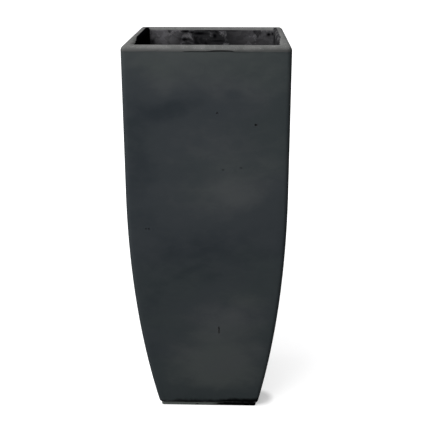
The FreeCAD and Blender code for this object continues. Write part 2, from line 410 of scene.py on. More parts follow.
# Pinholes and a slit in the photographed face: across, level, half width, half height.
FRONT_HOLES = (
    (0.0224, 0.7629, 0.0021, 0.0019),
    (0.1040, 0.7380, 0.0032, 0.0030),
    (-0.1348, 0.5018, 0.0020, 0.0016),
    (-0.1281, 0.5019, 0.0018, 0.0022),
    (0.0267, 0.2380, 0.0019, 0.0115),
    (0.0353, 0.6395, 0.0034, 0.0008),
    (0.0737, 0.6442, 0.0036, 0.0008),
)


# ---- Material building ----------------------------------------------------------------------------
class Tree:
    """Short ways to add and join nodes in a material or a group."""

    def __init__(self, tree):
        self.tree = tree

    def put(self, socket, value):
        """Joins a socket to another, or sets it. A colour gets its fourth value here."""
        if isinstance(value, bpy.types.NodeSocket):
            self.tree.links.new(value, socket)
        elif socket.type == "RGBA":
            socket.default_value = (value[0], value[1], value[2], 1.0)
        else:
            socket.default_value = value

    def node(self, kind, inputs=(), **values):
        made = self.tree.nodes.new(f"ShaderNode{kind}")
        for key, value in values.items():
            setattr(made, key, value)
        for key, value in dict(inputs).items():
            self.put(made.inputs[key], value)
        return made

    def group(self, name, where, **values):
        """Places a node group and gives its outputs."""
        return self.node("Group", {"Vector": where, **values}, node_tree=bpy.data.node_groups[name]).outputs

    def patch(self, where, place, size):
        return self.group("Cloud Patch", where, Place=place, Size=size)["Mask"]

    def give(self, out, **values):
        for key, value in values.items():
            self.put(out[key], value)

    def mapped(self, where, scale=(1, 1, 1), place=(0, 0, 0)):
        return self.node("Mapping", {"Vector": where, "Scale": scale, "Location": place}).outputs[0]

    def parts(self, where):
        """The three numbers of a vector."""
        return self.node("SeparateXYZ", {0: where}).outputs

    def vector(self, operation, first, second=(0, 0, 0)):
        made = self.node("VectorMath", {0: first, 1: second}, operation=operation)
        return made.outputs["Value" if operation in ("LENGTH", "DISTANCE") else "Vector"]

    def noise(self, where, scale, detail=3.0, roughness=0.5, distortion=0.0):
        inputs = {
            "Vector": where, "Scale": scale, "Detail": detail,
            "Roughness": roughness, "Distortion": distortion,
        }
        return self.node("TexNoise", inputs).outputs["Fac"]

    def ramp(self, value, low, high, to_low=0.0, to_high=1.0):
        inputs = {"Value": value, "From Min": low, "From Max": high, "To Min": to_low, "To Max": to_high}
        return self.node("MapRange", inputs, interpolation_type="SMOOTHSTEP").outputs["Result"]

    def math(self, operation, first, second=0.0):
        return self.node("Math", {0: first, 1: second}, operation=operation).outputs[0]

    def times(self, first, second):
        return self.math("MULTIPLY", first, second)

    def plus(self, first, second):
        return self.math("ADD", first, second)

    def minus(self, first, second):
        return self.math("SUBTRACT", first, second)

    def most(self, first, second):
        return self.math("MAXIMUM", first, second)

    def seen_directly(self):
        """1 for what the camera, a reflection or glass shows, and 0 for the light that falls on things."""
        path = self.node("LightPath").outputs
        return self.most(self.most(path["Is Camera Ray"], path["Is Glossy Ray"]), path["Is Transmission Ray"])

    def mix(self, amount, first, second, blend="MIX"):
        inputs = {0: amount, 6: first, 7: second}
        return self.node("Mix", inputs, data_type="RGBA", blend_type=blend).outputs[2]

    def bump(self, shader, height, distance, strength):
        made = self.node("Bump", {"Height": height, "Strength": strength, "Distance": distance})
        self.put(shader.inputs["Normal"], made.outputs[0])


def new_group(name, values, outputs):
    """An empty node group with a Vector and named values. Gives its tree, its inputs and its outputs."""
    group = bpy.data.node_groups.new(name, "ShaderNodeTree")
    group.interface.new_socket(name="Vector", in_out="INPUT", socket_type="NodeSocketVector")
    for label, default in values.items():
        kind = "NodeSocketVector" if isinstance(default, tuple) else "NodeSocketFloat"
        group.interface.new_socket(name=label, in_out="INPUT", socket_type=kind).default_value = default
    for label in outputs:
        group.interface.new_socket(name=label, in_out="OUTPUT", socket_type="NodeSocketFloat")
    into = group.nodes.new("NodeGroupInput")
    out = group.nodes.new("NodeGroupOutput")
    return Tree(group), into.outputs, out.inputs


def new_material(name):
    material = bpy.data.materials.new(name)
    material.use_nodes = True
    tree = Tree(material.node_tree)
    shader = material.node_tree.nodes["Principled BSDF"]
    return tree, shader, tree.node("TexCoord").outputs["Object"]


def shade(tint, factor):
    """A paler or darker shade of a colour."""
    return tuple(min(1.0, c * factor) for c in tint)


def make_cloud_group():
    """Broad soft clouds, drawn out sideways, with finer blotches in them."""
    tree, given, out = new_group("Resin Clouds", {"Size": 5.0, "Stretch": 2.0}, ("Broad", "Fine", "Tint"))
    tall = tree.node("CombineXYZ", {0: 1.0, 1: 1.0, 2: given["Stretch"]}).outputs[0]
    where = tree.vector("MULTIPLY", given["Vector"], tall)
    broad = tree.noise(where, given["Size"], 2.5, 0.55, 0.6)
    fine = tree.noise(where, tree.times(given["Size"], 6.0), 3.0, 0.6, 0.4)
    tint = tree.noise(tree.mapped(where, place=(3.1, 1.7, 5.3)), tree.times(given["Size"], 0.7), 2.0)
    tree.give(out, Broad=tree.ramp(broad, 0.36, 0.66), Fine=tree.ramp(fine, 0.35, 0.68))
    tree.give(out, Tint=tree.ramp(tint, 0.38, 0.64))


def make_patch_group():
    """One soft-edged patch at a place, as part of a sphere that is drawn out to a size."""
    tree, given, out = new_group("Cloud Patch", {"Place": (0, 0, 0), "Size": (0, 0, 0)}, ("Mask",))
    away = tree.vector("DIVIDE", tree.vector("SUBTRACT", given["Vector"], given["Place"]), given["Size"])
    tree.give(out, Mask=tree.ramp(tree.vector("LENGTH", away), 1.5, 0.1))


def make_grain_group():
    """Fine pitting and grain: a value for roughness and a height for bumps."""
    tree, given, out = new_group("Fine Grain", {"Size": 900.0, "Pits": 0.5}, ("Value", "Height"))
    grain = tree.noise(given["Vector"], given["Size"], 3.0, 0.6)
    peel = tree.noise(given["Vector"], tree.times(given["Size"], 0.22), 2.0, 0.5)
    inputs = {"Vector": given["Vector"], "Scale": tree.times(given["Size"], 0.12)}
    cells = tree.node("TexVoronoi", inputs, feature="F1").outputs["Distance"]
    pits = tree.times(tree.ramp(cells, 0.10, 0.02), given["Pits"])
    height = tree.plus(tree.times(grain, 0.35), tree.times(peel, 0.65))
    tree.give(out, Value=grain, Height=tree.minus(height, pits))


def make_dust_group():
    """Dust that has settled on what faces up. Heavy on the lip, it is partly painted light on the up-facing
    crown.
    """
    tree, given, out = new_group("Settled Dust", {"Size": 30.0, "Amount": 0.5}, ("Mask",))
    facing = tree.ramp(tree.parts(tree.node("NewGeometry").outputs["Normal"])[2], 0.02, 0.75)
    patches = tree.noise(given["Vector"], given["Size"], 4.0, 0.65)
    specks = tree.noise(given["Vector"], tree.times(given["Size"], 22.0), 2.0)
    mask = tree.plus(tree.ramp(patches, 0.30, 0.80, 0.25, 0.80), tree.ramp(specks, 0.58, 0.72))
    mask = tree.times(tree.times(mask, facing), given["Amount"])
    tree.give(out, Mask=tree.math("MINIMUM", mask, 1.0))


def make_foot_shade_group():
    """Painted shade near the ground, darkest at the bottom, with a ragged upper edge that leans across so
    that it reaches higher at the right.
    """
    tree, given, out = new_group("Rising Damp", {"Height": 0.03, "Raggedness": 0.03, "Lean": 0.05}, ("Mask",))
    place = tree.parts(given["Vector"])
    level = tree.minus(place[2], tree.times(place[0], given["Lean"]))
    edge = tree.noise(tree.mapped(given["Vector"], (1, 1, 0.5)), 26.0, 4.0, 0.6, 0.4)
    edge = tree.times(tree.minus(edge, 0.5), given["Raggedness"])
    low = tree.minus(given["Height"], tree.plus(level, edge))
    tree.give(out, Mask=tree.ramp(tree.math("DIVIDE", low, given["Height"]), 0.08, 0.52))


def make_wear_group():
    """Rubbed corners: how far a point stands out on an edge, broken up by noise."""
    tree, given, out = new_group("Rubbed Edges", {"Size": 60.0, "Amount": 0.5}, ("Mask",))
    edge = tree.ramp(tree.node("NewGeometry").outputs["Pointiness"], 0.505, 0.56)
    broken = tree.ramp(tree.noise(given["Vector"], given["Size"], 4.0, 0.7), 0.42, 0.66)
    tree.give(out, Mask=tree.times(tree.times(edge, broken), given["Amount"]))


def make_strand_group():
    """Woven glass rovings showing through resin: their height, how dry they are, and runs of wet resin."""
    tree, given, out = new_group("Glass Rovings", {"Size": 110.0}, ("Height", "Dry", "Wet"))
    wobble = tree.times(tree.noise(given["Vector"], 14.0, 2.0), 0.012)
    shift = tree.node("CombineXYZ", {0: wobble, 1: wobble, 2: wobble}).outputs[0]
    where = tree.vector("ADD", given["Vector"], shift)
    inputs = {"Vector": where, "Distortion": 2.0, "Detail": 2.0, "Scale": given["Size"]}
    waves = [
        tree.node("TexWave", inputs, wave_type="BANDS", bands_direction=direction).outputs["Fac"]
        for direction in ("Z", "DIAGONAL")
    ]
    weave = tree.most(waves[0], waves[1])
    lumps = tree.noise(given["Vector"], 38.0, 4.0, 0.6, 0.5)
    drips = tree.noise(tree.mapped(given["Vector"], (1, 1, 0.45)), 22.0, 3.0, 0.55, 0.8)
    dry = tree.times(tree.ramp(lumps, 0.50, 0.68), tree.ramp(weave, 0.3, 0.9, 0.55, 1.0))
    height = tree.plus(tree.times(weave, 0.35), tree.times(lumps, 0.9))
    tree.give(out, Dry=dry, Wet=tree.ramp(drips, 0.56, 0.66), Height=height)


def tone_of_patches(tree, where, tone, patches):
    """Adds to a tone, or takes from it, in each patch on the front: clouds, and painted light and shade."""
    stray = tree.node("TexNoise", {"Vector": where, "Scale": 14.0, "Detail": 1.5}).outputs["Color"]
    stray = tree.vector("SUBTRACT", stray, (0.5, 0.5, 0.5))
    moved = tree.vector("ADD", where, tree.vector("MULTIPLY", stray, (CLOUD_STRAY, CLOUD_STRAY, CLOUD_STRAY)))
    for x, level, wide, tall, change in patches:
        mask = tree.patch(moved, (x, -WALL_HIGH.x, level), (wide, CLOUD_DEPTH, tall))
        tone = tree.plus(tone, tree.times(mask, change))
    return tone


def make_gelcoat(name, dark, middle, pale, patches, rough, dust_and_top_light, foot_shade_height):
    """A moulded charcoal face: matte, clouded, with fine grain, rubbed edges, settled dust and painted shade
    near the ground.
    """
    tree, shader, where = new_material(name)
    colours = bpy.context.scene.planter_finish
    cloud = tree.group("Resin Clouds", where, Size=5.0, Stretch=1.7)
    grain = tree.group("Fine Grain", where, Size=800.0, Pits=0.35)
    tone = tree.ramp(cloud["Broad"], 0.0, 1.0, 0.40, 0.56)
    tone = tree.plus(tone, tree.ramp(cloud["Fine"], 0.0, 1.0, -0.04, 0.04))
    if patches:
        tone = tone_of_patches(tree, where, tone, patches)
    base = tree.mix(tree.ramp(tone, 0.0, 0.5), dark, middle)
    base = tree.mix(tree.ramp(tone, 0.5, 1.1), base, pale)
    tint = tree.mix(cloud["Tint"], (0.985, 1.005, 0.985), (1.01, 0.99, 1.02))
    base = tree.mix(1.0, base, tint, "MULTIPLY")
    worn = tree.group("Rubbed Edges", where, Size=70.0, Amount=0.12)
    base = tree.mix(worn["Mask"], base, colours.gelcoat_pale)
    dust = tree.group("Settled Dust", where, Size=24.0, Amount=dust_and_top_light)
    base = tree.mix(dust["Mask"], base, colours.dust)
    # Painted shade that darkens the face near the ground.
    damp = tree.group("Rising Damp", where, Height=foot_shade_height, Raggedness=0.026)
    base = tree.mix(damp["Mask"], base, colours.damp)
    value = tree.times(tree.minus(grain["Value"], 0.5), 0.12)
    value = tree.plus(value, tree.ramp(tone, 0.0, 1.0, rough - 0.06, rough + 0.06))
    tree.give(shader.inputs, **{"Base Color": base, "Roughness": value})
    shader.inputs["Specular IOR Level"].default_value = 0.005
    tree.bump(shader, grain["Height"], 0.0002, 0.35)
    return tree, shader, where, base


def make_plinth_gelcoat(colours):
    """The plinth's band, paler than the wall's gelcoat as painted light from the floor, with black painted
    shade over the right half of the front.
    """
    shades = (shade(colours.plinth, 0.6), colours.plinth, shade(colours.plinth, 1.4))
    tree, shader, where, base = make_gelcoat("Plinth Gelcoat", *shades, (), 0.75, 0.1, 0.006)
    place = tree.parts(where)
    ragged = tree.times(tree.noise(where, 60.0, 4.0, 0.65), 0.05)
    edge = tree.minus(tree.plus(place[0], ragged), tree.times(place[2], 1.2))
    # Painted shade: black over the right half of the plinth's front.
    painted_right_shade = tree.times(tree.ramp(edge, 0.026, 0.052), tree.ramp(place[1], 0.06, -0.06))
    tree.put(shader.inputs["Base Color"], tree.mix(painted_right_shade, base, colours.damp))


def make_raw_laminate(colours):
    """The unmoulded side of the laminate: rovings, dry patches and pools of dark resin, with painted shade in
    near-black on the left inner faces and a patch of painted light in the skirt's left back corner.
    """
    tree, shader, where = new_material("Raw Laminate")
    strands = tree.group("Glass Rovings", where, Size=95.0)
    cloud = tree.group("Resin Clouds", where, Size=9.0, Stretch=1.4)
    base = tree.mix(cloud["Broad"], shade(colours.laminate, 0.5), colours.laminate)
    dry = strands["Dry"]
    # Dry laminate, and painted light in the skirt's left back corner.
    for x, level, wide, tall, amount in DRY_AND_LIT_PATCHES:
        patch = tree.patch(where, (x, SKIRT_FACE, level), (wide, 0.03, tall))
        blotched = tree.ramp(cloud["Fine"], 0.0, 0.6, 0.6 * amount, amount)
        dry = tree.most(dry, tree.times(patch, blotched))
    base = tree.mix(dry, base, colours.laminate_pale)
    place = tree.parts(where)
    # Painted shade: the left inner faces, high up, turn near-black.
    painted_left_shade = tree.times(tree.ramp(place[0], -0.1490, -0.1500), tree.ramp(place[2], 0.80, 0.86))
    wet_and_shade = tree.most(tree.times(strands["Wet"], 0.75), painted_left_shade)
    for x, level, wide, tall in SKIRT_POOLS:
        wet_and_shade = tree.most(wet_and_shade, tree.patch(where, (x, SKIRT_FACE, level), (wide, 0.02, tall)))
    base = tree.mix(wet_and_shade, base, colours.resin)
    dust = tree.group("Settled Dust", where, Size=18.0, Amount=0.08)
    base = tree.mix(tree.times(dust["Mask"], tree.ramp(wet_and_shade, 1.0, 0.0)), base, colours.dust)
    tree.give(shader.inputs, **{"Base Color": base, "Roughness": tree.ramp(wet_and_shade, 0.0, 1.0, 0.72, 0.55)})
    shader.inputs["Specular IOR Level"].default_value = 0.0
    tree.bump(shader, strands["Height"], 0.0012, 0.8)


def make_timber(name, tint, along, layers):
    """Sawn wood with its grain along one axis, or plywood with veneers one over another."""
    tree, shader, where = new_material(name)
    across, lengthways = 26.0, 1.6
    scale = [lengthways if axis == along else across for axis in "XYZ"]
    fibres = tree.noise(tree.mapped(where, tuple(scale)), 6.0, 5.0, 0.65, 0.3)
    inputs = {
        "Vector": tree.mapped(where, tuple(s / across for s in scale)),
        "Scale": 45.0, "Distortion": 5.0, "Detail": 3.0, "Detail Scale": 0.8,
    }
    rings = tree.node("TexWave", inputs, wave_type="RINGS", rings_direction=along).outputs["Fac"]
    base = tree.mix(tree.ramp(rings, 0.2, 0.9), shade(tint, 0.55), tint)
    base = tree.mix(tree.ramp(fibres, 0.35, 0.7, 0.0, 0.5), base, shade(tint, 1.25))
    if layers:
        ply = tree.math("FRACT", tree.times(tree.parts(where)[2], layers))
        second = tree.times(tree.math("GREATER_THAN", ply, 0.5), 0.35)
        base = tree.mix(second, base, shade(tint, 0.45))
    tree.give(shader.inputs, **{"Base Color": base, "Roughness": tree.ramp(fibres, 0.2, 0.8, 0.62, 0.82)})
    tree.bump(shader, tree.plus(fibres, tree.times(rings, 0.4)), 0.0004, 0.6)


def make_moulded(name, tint, dust_tint, rough, dust, grain_size):
    """Moulded rubber or plastic: even colour, fine texture, rubbed edges and a little dust."""
    tree, shader, where = new_material(name)
    grain = tree.group("Fine Grain", where, Size=grain_size, Pits=0.2)
    blotch = tree.noise(where, 60.0, 4.0, 0.6)
    base = tree.mix(tree.ramp(blotch, 0.35, 0.7), shade(tint, 0.7), shade(tint, 1.3))
    worn = tree.group("Rubbed Edges", where, Size=220.0, Amount=0.5)
    base = tree.mix(worn["Mask"], base, shade(tint, 3.0))
    settled = tree.group("Settled Dust", where, Size=90.0, Amount=dust)
    base = tree.mix(settled["Mask"], base, dust_tint)
    value = tree.plus(tree.times(grain["Value"], 0.16), rough - 0.08)
    tree.give(shader.inputs, **{"Base Color": base, "Roughness": value})
    tree.bump(shader, grain["Height"], 0.0002, 0.5)


def make_backdrop(studio):
    """The floor: white where nothing shades it, and grey in the planter's shadow, which shows only around a
    painted shadow place beside the right foot, where the floor's glow is lower.
    """
    tree, shader, where = new_material("Studio Floor")
    # Painted shadow: the floor's glow is lower near this place.
    near = tree.ramp(tree.vector("DISTANCE", where, PAINTED_SHADOW_PLACE), 0.020, 0.044, 0.46, 0.78)
    lift = tree.plus(near, tree.ramp(tree.vector("LENGTH", where), 0.5, 2.0, 0.0, 0.3))
    haze = tree.noise(where, 3.0, 2.0)
    tint = tree.mix(tree.ramp(haze, 0.3, 0.7), (0.46, 0.46, 0.47), (0.48, 0.48, 0.48))
    tree.put(shader.inputs["Base Color"], tint)
    shader.inputs["Roughness"].default_value = 0.9
    strength = tree.times(tree.seen_directly(), lift)
    glow = tree.node("Emission", {"Color": studio.backdrop, "Strength": strength})
    both = tree.node("AddShader", {0: shader.outputs[0], 1: glow.outputs[0]})
    tree.put(tree.tree.nodes["Material Output"].inputs["Surface"], both.outputs[0])


# ---- Pieces ---------------------------------------------------------------------------------------
def wall_form(settings):
    """The arc of the drawn-in stretch: its centre as (half width, level), radius, and end angles."""
    rim_half, joint = LIP_HIGH.x, WALL_HIGH.z
    lean = math.atan2(settings.shoulder_half - rim_half, joint - settings.shoulder_level)
    drop = settings.shoulder_level - WALL_LOW.z
    draw = settings.shoulder_half - settings.heel_half
    radius = (draw**2 + drop**2) / (2 * (draw * math.cos(lean) + drop * math.sin(lean)))
    across = settings.shoulder_half - radius * math.cos(lean)
    level = settings.shoulder_level - radius * math.sin(lean)
    return (across, level), radius, lean, math.asin((WALL_LOW.z - level) / radius)


def wall_half(settings, level):
    """Half the wall's outside width at a level."""
    if level > settings.shoulder_level:
        climb = (level - settings.shoulder_level) / (WALL_HIGH.z - settings.shoulder_level)
        return settings.shoulder_half + (LIP_HIGH.x - settings.shoulder_half) * climb
    centre, radius, _, _ = wall_form(settings)
    return centre[0] + math.sqrt(radius**2 - (level - centre[1]) ** 2)


def half_of(x, y):
    """Half the width of the upright square that a point lies on."""
    return max(abs(x), abs(y))


def by_a_hole(x, z):
    """Whether a point of the front lies in one of its holes, or next to it."""
    for across, level, wide, tall in FRONT_HOLES:
        if math.hypot((x - across) / wide, (z - level) / tall) < 1.4:
            return True
    return False


class PLANTER_OT_finishes(bpy.types.Operator):
    """Build the node groups and the materials"""

    bl_idname = "planter.finishes"
    bl_label = "Finishes"

    def execute(self, context):
        colours = context.scene.planter_finish
        groups = (
            make_cloud_group, make_patch_group, make_grain_group, make_dust_group,
            make_foot_shade_group, make_wear_group, make_strand_group,
        )
        for make in groups:
            make()
        walls = (colours.gelcoat_dark, colours.gelcoat, colours.gelcoat_pale)
        make_gelcoat("Charcoal Gelcoat", *walls, FRONT_CLOUDS_AND_SHADING, 0.82, 0.10, 0.033)
        lips = (shade(colours.lip, 0.8), colours.lip, shade(colours.lip, 1.2))
        # The lip's heavy dust is partly painted light: it makes the up-facing crown paler.
        make_gelcoat("Lip Gelcoat", *lips, LIP_BAND_SHADE, 0.78, 0.66, 0.026)
        make_plinth_gelcoat(colours)
        make_raw_laminate(colours)
        for along in "XY":
            make_timber(f"Batten Timber {along}", colours.timber, along, 0.0)
        make_timber("Floor Plywood", colours.veneer, "X", 1 / VENEER_PAIR)
        make_moulded("Stopper Rubber", colours.rubber, colours.dust, 0.72, 0.30, 1500.0)
        make_moulded("Pad Rubber", colours.rubber, colours.dust, 0.80, 0.10, 1200.0)
        make_moulded("Drain Plastic", colours.plastic, colours.dust, 0.42, 0.22, 2500.0)
        # Painted shade: near-black for the faces inside the bond line's cut and the pinholes.
        make_moulded("Bond Resin", colours.resin, colours.resin, 0.60, 0.0, 900.0)
        make_backdrop(context.scene.planter_studio)
        return {"FINISHED"}


class PLANTER_OT_wall(bpy.types.Operator):
    """Model the moulded wall, from the flange under the floor to the edge under the lip"""

    bl_idname = "planter.wall"
    bl_label = "Wall"

    def execute(self, context):
        s = context.scene.planter_wall
        centre, radius, lean, heel_angle = wall_form(s)
        bottom, top = WALL_LOW.z, WALL_HIGH.z
        hole_half = s.heel_half - FLANGE_REACH
        # The heel's rounding ends where it leans as the arc does.
        tilt = -heel_angle
        touch = bottom + s.heel_radius * (1 - math.sin(tilt))
        middle = wall_half(s, touch) - s.heel_radius * math.cos(tilt)
        rings = [(hole_half, s.inner_radius, bottom)]
        for a in spread(-math.pi / 2, -tilt, 6):
            reach = s.heel_radius * math.cos(a)
            corner = s.corner_radius - s.heel_radius * math.cos(tilt) + reach
            rings.append((middle + reach, corner, bottom + s.heel_radius * (1 + math.sin(a))))
        faces = []
        for a in spread(math.asin((touch - centre[1]) / radius), lean, 32, first=1):
            half = min(centre[0] + radius * math.cos(a), CAD_BOX[1].x)
            faces.append((half, centre[1] + radius * math.sin(a)))
        faces += [(wall_half(s, level), level) for level in spread(s.shoulder_level, top, 18, first=1)]
        rings += [(half, s.corner_radius, level) for half, level in faces]
        for half, level in reversed(faces):
            if level > FLANGE_TOP + INSIDE_HEEL:
                rings.append((half - s.thickness, s.inner_radius, level))
        rings.append((wall_half(s, FLANGE_TOP) - s.thickness, s.inner_radius, FLANGE_TOP))
        rings.append((hole_half, s.inner_radius, FLANGE_TOP))
        wall = stack("moulded_wall", rings)
        cross_cuts(wall, 21)

        fade_up, fade_down, fade_far, fade_near = 0.07, 0.046, 0.045, 0.010

        def away_from_edges(p, low, high):
            """1 over the middle of a side, down to 0 at its corners, its foot and its top."""
            across, reach = min(abs(p.x), abs(p.y)), half_of(p.x, p.y)
            level = smooth(p.z, low, low + fade_up) * (1 - smooth(p.z, high - fade_down, high))
            return level * (1 - smooth(across, reach - fade_far, reach - fade_near))

        def outer_face(p):
            outward = half_of(p.x, p.y) > wall_half(s, p.z) - s.thickness / 2
            return away_from_edges(p, bottom + 0.01, top - 0.004) * outward

        def inner_face(p):
            inward = half_of(p.x, p.y) < wall_half(s, p.z) - s.thickness / 2
            return away_from_edges(p, PAN_HIGH.z, LIP_LOW.z) * inward

        weigh(wall, "outer_face", outer_face)
        weigh(wall, "inner_face", inner_face)
        roughen(wall, "outer_face", "Mould Waves", s.wave_size, s.wave_depth, 1.0)
        roughen(wall, "inner_face", "Hand Lay", s.wave_size / 4, s.lay_depth, 1.0)
        self.pierce(wall, s)
        finish(wall, "planter", "Charcoal Gelcoat", "laminate", "wall_shell")
        sides(wall, "Raw Laminate", "Bond Resin")
        # Faces sunk in the pinholes and the slit get the painted recess shade, inner faces the raw laminate.
        for face in wall.data.polygons:
            x, y, z = face.center
            depth = y + wall_half(s, z) if y < 0 else 1.0
            sunk = depth < 0.004 and (depth > 0.0014 or abs(face.normal.y) < 0.8)
            if sunk and by_a_hole(x, z):
                face.material_index = 2
            outward = face.normal.x * x + face.normal.y * y
            if outward < -0.2 * half_of(x, y) or abs(z - FLANGE_TOP) < 0.0005:
                face.material_index = 1
        return {"FINISHED"}

    def pierce(self, wall, s):
        """Cuts the pinholes and the slit of the photographed face with small tapered cutters."""
        cutter = start("pinhole_cutter")
        for x, z, wide, tall in FRONT_HOLES:
            bpy.ops.mesh.primitive_cone_add(
                vertices=12, radius1=wide * 1.2, radius2=wide * 0.5, depth=0.006,
                location=(x, -wall_half(s, z) + 0.001, z), rotation=(math.radians(-90), 0, 0),
                scale=(1.0, tall / wide, 1.0),
            )
        subtract(wall, cutter, "Pinholes")


class PLANTER_OT_lip(bpy.types.Operator):
    """Model the bonded lip with its crown, its inner skirt and the bond line on the front"""

    bl_idname = "planter.lip"
    bl_label = "Lip"

    def execute(self, context):
        s = context.scene.planter_lip
        wall = context.scene.planter_wall
        outside, crest, joint = LIP_HIGH.x, LIP_HIGH.z, WALL_HIGH.z
        opening = outside - s.width
        corner = wall.corner_radius
        rings = [(outside - 0.0004, corner, joint), (outside, corner, joint + 0.0004)]
        quarter = spread(0, math.pi / 2, 8)
        for a in quarter:
            back = s.outer_radius * (1 - math.cos(a))
            rings.append((outside - back, corner - back, crest - s.outer_radius * (1 - math.sin(a))))
        for a in quarter:
            out = s.inner_radius * (1 - math.sin(a))
            rings.append((opening + out, s.opening_radius + out, crest - s.inner_radius * (1 - math.cos(a))))
        chamfer = 0.0012
        skirt_corner = s.opening_radius + s.skirt
        inner = outside - wall.thickness
        for level in spread(crest - s.inner_radius, LIP_LOW.z + chamfer, 5, first=1):
            rings.append((opening, s.opening_radius, level))
        rings += [
            (opening + chamfer, s.opening_radius + chamfer, LIP_LOW.z),
            (opening + s.skirt, skirt_corner, LIP_LOW.z),
            (opening + s.skirt, skirt_corner, BATTEN_TOP),
            (inner, wall.inner_radius, BATTEN_TOP),
            (inner, wall.inner_radius, joint),
        ]
        lip = stack("bonded_lip", rings)
        cross_cuts(lip, 35)

        def front_band(p):
            on_front = 1.0 if p.y < -(outside - 0.0045) else 0.0
            low = 1 - smooth(p.z, joint + BAND_FADE[0], joint + BAND_FADE[1])
            return on_front * low * (1 - smooth(abs(p.x - 0.020), 0.030, 0.125))

        def rough_skirt(p):
            inward = 1.0 if half_of(p.x, p.y) < opening + 0.0005 else 0.0
            return inward * (1 - smooth(p.z, crest - 0.020, crest - 0.012))

        weigh(lip, "front_band", front_band)
        weigh(lip, "rough_skirt", rough_skirt)
        apply_modifier(
            lip, "DISPLACE", "Swell", direction="Y", vertex_group="front_band",
            strength=-s.swell, mid_level=0.0,
        )
        roughen(lip, "rough_skirt", "Skirt Resin", 0.02, 0.0012, 0.5, depth=3)
        self.open_bond(lip, s, outside, joint)
        finish(lip, "planter", "Lip Gelcoat", "laminate", "rim_lip")
        sides(lip, "Raw Laminate", "Bond Resin")
        for face in lip.data.polygons:
            x, y, z = face.center
            inside = half_of(x, y) < opening + s.inner_radius
            # On the sides the dark raw laminate climbs over most of the inner rounding, nearly to the crest
            # at the back: painted shade.
            drop = 0.0065 if abs(y) > abs(x) else 0.0002 + 0.0045 * smooth(-y, 0.02, 0.13)
            if inside and z < crest - drop:
                face.material_index = 1
            # The faces of the bond line's cut get the painted recess shade.
            cut = 0.0002 < y + outside < BOND_DEPTH + 0.0003 and abs(x) < 0.06
            if cut and z < joint + s.gap:
                face.material_index = 2
        return {"FINISHED"}

    def open_bond(self, lip, s, outside, joint):
        """Cuts the open bond line under the front band: a long lens, and a finer one beside it."""
        for x, reach, tall in ((0.0305, 0.027, s.gap), (-0.012, 0.036, s.gap * 0.45)):
            cutter = start("bond_cutter")
            bpy.ops.mesh.primitive_uv_sphere_add(
                segments=32, ring_count=12, radius=1.0, location=(x, -outside, joint + tall * 0.22),
                scale=(reach, BOND_DEPTH, tall / 2),
            )
            subtract(lip, cutter, "Bond gap")


class PLANTER_OT_floor(bpy.types.Operator):
    """Model the laminated floor with its ragged upstand and the drain's seat"""

    bl_idname = "planter.floor"
    bl_label = "Floor"

    def execute(self, context):
        s = context.scene.planter_floor
        drain = context.scene.planter_drain
        wall = context.scene.planter_wall
        bottom, top = PAN_LOW.z, PAN_HIGH.z
        floor = BUSH_HIGH.z
        seat = floor - BUSH_FLANGE

        def outer(level):
            return wall_half(wall, level) - wall.thickness

        rings = [(drain.sleeve_radius, ROUND, bottom)]
        rings += [(outer(level), wall.inner_radius, level) for level in spread(bottom, top, 4)]
        rings.append((outer(top) - s.upstand * 0.5, 0.011, top))
        for level in spread(top - 0.0025, floor + s.cove, 2):
            rings.append((outer(level) - s.upstand, s.corner_radius, level))
        for a in spread(0, math.pi / 2, 4, first=1):
            level = floor + s.cove * (1 - math.sin(a)) ** COVE_FILL
            half = outer(level) - s.upstand - s.cove * (1 - math.cos(a)) ** COVE_FILL
            rings.append((half, s.corner_radius, level))
        rings += [
            (0.070, 0.020, floor),
            (s.seat_radius + 0.0006, ROUND, floor),
            (s.seat_radius, ROUND, floor - 0.0005),
            (s.seat_radius, ROUND, seat),
            (drain.sleeve_radius, ROUND, seat),
        ]
        pan = stack("laminated_floor", rings)
        cross_cuts(pan, 15, 0.10)
        weigh(pan, "edge", lambda p: smooth(p.z, top - 0.006, top - 0.001))
        roughen(pan, "edge", "Torn Mat", 0.03, s.ragged, 1.0, depth=3, direction="Z")
        finish(pan, "planter", "Raw Laminate", "raw_laminate", "floor_pan", angle=50.0)
        return {"FINISHED"}


